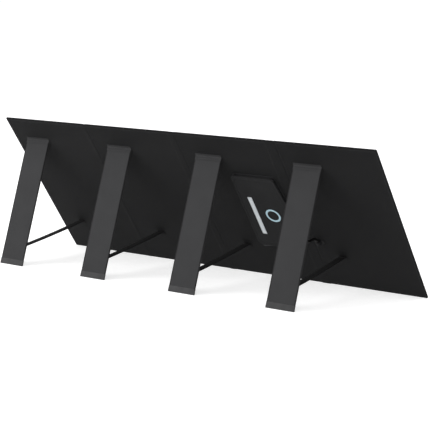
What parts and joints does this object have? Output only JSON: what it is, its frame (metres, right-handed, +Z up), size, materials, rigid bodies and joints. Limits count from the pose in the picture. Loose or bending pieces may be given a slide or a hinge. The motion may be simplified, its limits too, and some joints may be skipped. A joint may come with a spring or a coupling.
{
  "type": "folding solar panel",
  "caption": "Fabric-framed folding solar panel with sewn spines, hinged back stands on webbing tethers, a zipped back pocket and a carry handle.",
  "frame": {"origin": "on the ground, at the middle of the standing panel's box", "axes": "+Z up, X along the panel's length, the cells face -Y and up, the stands are on the +Y side"},
  "size_m": [1.34, 0.4274, 0.457],
  "materials": {
    "panel_fabric": "fine plain weave polyester, matt",
    "board_core": "glass-fibre board, matt",
    "foam": "closed-cell foam, matt",
    "laminate": "ETFE film, satin gloss, fine dimples",
    "cell": "monocrystalline silicon under film, gloss",
    "stand_fabric": "coarser woven polyester over board, matt",
    "binding": "grosgrain edge tape, matt",
    "webbing": "polyester webbing, matt",
    "rubber": "moulded rubber, matt",
    "pocket_fabric": "pressed foam-backed fabric, matt",
    "zip_tape": "coil zip, satin",
    "zip_metal": "black lacquered zinc, satin",
    "moulded_plastic": "moulded ABS, fine texture"
  },
  "bodies": {
    "section_3": {"section_3_board": "board_core", "section_3_back_fabric": "panel_fabric", "section_3_front_border": "panel_fabric", "section_3_laminate": "laminate", "section_3_cells": "cell", "stand_3_hinge_band": "stand_fabric", "tether_3_tab": "webbing", "tether_3": "webbing", "pocket_walls": "pocket_fabric", "pocket_zip": "zip_tape", "junction_box": "moulded_plastic", "junction_box_lid": "moulded_plastic", "output_gland": "moulded_plastic", "spine_23_fabric": "panel_fabric", "spine_23_core": "foam", "spine_34_fabric": "panel_fabric", "spine_34_core": "foam"},
    "section_2": {"section_2_board": "board_core", "section_2_back_fabric": "panel_fabric", "section_2_front_border": "panel_fabric", "section_2_laminate": "laminate", "section_2_cells": "cell", "stand_2_hinge_band": "stand_fabric", "tether_2_tab": "webbing", "tether_2": "webbing", "fold_12_fabric": "panel_fabric"},
    "section_1": {"section_1_board": "board_core", "section_1_back_fabric": "panel_fabric", "section_1_front_border": "panel_fabric", "section_1_laminate": "laminate", "section_1_cells": "cell", "stand_1_hinge_band": "stand_fabric", "tether_1_tab": "webbing", "tether_1": "webbing"},
    "section_4": {"section_4_board": "board_core", "section_4_back_fabric": "panel_fabric", "section_4_front_border": "panel_fabric", "section_4_laminate": "laminate", "section_4_cells": "cell", "stand_4_hinge_band": "stand_fabric", "tether_4_tab": "webbing", "tether_4": "webbing", "handle_loops": "webbing"},
    "pocket_cover": {"pocket_cover": "pocket_fabric"},
    "zip_slider": {"pocket_zip_slider": "zip_metal"},
    "handle": {"carry_handle": "rubber"},
    "stand_1": {"stand_1_board": "stand_fabric", "stand_1_binding": "binding", "stand_1_foot": "rubber"},
    "stand_2": {"stand_2_board": "stand_fabric", "stand_2_binding": "binding", "stand_2_foot": "rubber"},
    "stand_3": {"stand_3_board": "stand_fabric", "stand_3_binding": "binding", "stand_3_foot": "rubber"},
    "stand_4": {"stand_4_board": "stand_fabric", "stand_4_binding": "binding", "stand_4_foot": "rubber"}
  },
  "joints": [
    {"name": "section_2_fold", "type": "hinge", "parent": "section_3", "child": "section_2", "pos_m": [0.01425, -0.04298, 0.23384], "axis": [0, -0.6121, -0.7908], "range_deg": [0, 180], "deforming": ["spine_23_fabric", "spine_23_core"]},
    {"name": "section_1_fold", "type": "hinge", "parent": "section_2", "child": "section_1", "pos_m": [0.34675, -0.03863, 0.23048], "axis": [0, -0.6121, -0.7908], "range_deg": [0, 180], "deforming": ["fold_12_fabric"]},
    {"name": "section_4_fold", "type": "hinge", "parent": "section_3", "child": "section_4", "pos_m": [-0.331, -0.04752, 0.23736], "axis": [0, 0.6121, 0.7908], "range_deg": [0, 180], "deforming": ["spine_34_fabric", "spine_34_core"]},
    {"name": "stand_1_hinge", "type": "hinge", "parent": "section_1", "child": "stand_1", "pos_m": [0.57565, 0.09132, 0.38407], "axis": [-1, 0, 0], "range_deg": [0, 55.1], "deforming": ["tether_1"]},
    {"name": "stand_2_hinge", "type": "hinge", "parent": "section_2", "child": "stand_2", "pos_m": [0.24305, 0.09132, 0.38407], "axis": [-1, 0, 0], "range_deg": [0, 55.1], "deforming": ["tether_2"]},
    {"name": "stand_3_hinge", "type": "hinge", "parent": "section_3", "child": "stand_3", "pos_m": [-0.0916, 0.09132, 0.38407], "axis": [-1, 0, 0], "range_deg": [0, 55.1], "deforming": ["tether_3"]},
    {"name": "stand_4_hinge", "type": "hinge", "parent": "section_4", "child": "stand_4", "pos_m": [-0.4297, 0.09132, 0.38407], "axis": [-1, 0, 0], "range_deg": [0, 55.1], "deforming": ["tether_4"]},
    {"name": "handle_swing", "type": "hinge", "parent": "section_4", "child": "handle", "pos_m": [-0.366, -0.02886, 0.22292], "axis": [0, 0.6121, 0.7908], "range_deg": [-60, 60]},
    {"name": "pocket_cover_hinge", "type": "hinge", "parent": "section_3", "child": "pocket_cover", "pos_m": [-0.147, -0.02559, 0.22355], "axis": [0, -0.6121, -0.7908], "range_deg": [0, 90]},
    {"name": "zip_slide", "type": "slide", "parent": "section_3", "child": "zip_slider", "axis": [-1, 0, 0], "range_m": [0, 0.1]}
  ]
}
